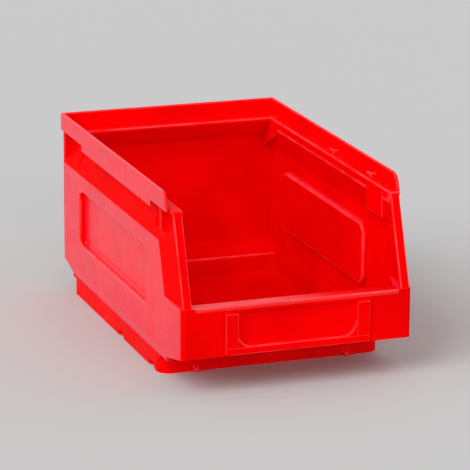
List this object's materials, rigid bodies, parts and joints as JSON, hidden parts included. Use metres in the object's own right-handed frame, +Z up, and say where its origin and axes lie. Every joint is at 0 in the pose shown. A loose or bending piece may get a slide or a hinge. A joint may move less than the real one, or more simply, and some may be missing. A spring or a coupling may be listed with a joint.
{
  "type": "stackable storage bin",
  "caption": "Open-fronted stackable picking bin with a stacking rim, sloped opening, grip pockets and a front label holder.",
  "frame": {"origin": "middle of the overall footprint, on the surface the bin stands on", "axes": "+X across the bin to the right, +Y from the open front to the back, +Z up"},
  "size_m": [0.15, 0.247, 0.119],
  "materials": {
    "moulded_polypropylene": "semi-gloss injection-moulded polypropylene with a fine texture"
  },
  "bodies": {
    "root": {"floor": "moulded_polypropylene", "foot_left": "moulded_polypropylene", "foot_right": "moulded_polypropylene", "foot_back": "moulded_polypropylene", "foot_front": "moulded_polypropylene", "sill_left": "moulded_polypropylene", "sill_right": "moulded_polypropylene", "sill_back": "moulded_polypropylene", "chin": "moulded_polypropylene", "panel_left": "moulded_polypropylene", "panel_right": "moulded_polypropylene", "field_left": "moulded_polypropylene", "field_right": "moulded_polypropylene", "shoulder_left": "moulded_polypropylene", "shoulder_right": "moulded_polypropylene", "shoulder_back": "moulded_polypropylene", "post_left": "moulded_polypropylene", "post_right": "moulded_polypropylene", "front_corner_left": "moulded_polypropylene", "front_corner_right": "moulded_polypropylene", "wall_back": "moulded_polypropylene", "corner_plate_left": "moulded_polypropylene", "corner_plate_right": "moulded_polypropylene", "wall_front": "moulded_polypropylene", "lip_front": "moulded_polypropylene", "label_field": "moulded_polypropylene", "band_rear_left": "moulded_polypropylene", "band_rear_right": "moulded_polypropylene", "band_middle_left": "moulded_polypropylene", "band_middle_right": "moulded_polypropylene", "band_nose_left": "moulded_polypropylene", "band_nose_right": "moulded_polypropylene", "band_back": "moulded_polypropylene", "ledge_left": "moulded_polypropylene", "ledge_right": "moulded_polypropylene", "ledge_back": "moulded_polypropylene", "grip_front_left": "moulded_polypropylene", "grip_front_right": "moulded_polypropylene", "grip_back_left": "moulded_polypropylene", "grip_back_right": "moulded_polypropylene", "grip_rib_left": "moulded_polypropylene", "grip_rib_right": "moulded_polypropylene", "ledge_lugs_left": "moulded_polypropylene", "ledge_lugs_right": "moulded_polypropylene", "label_rail_left": "moulded_polypropylene", "label_rail_right": "moulded_polypropylene", "label_rail_bottom": "moulded_polypropylene", "front_hooks": "moulded_polypropylene"}
  },
  "joints": []
}
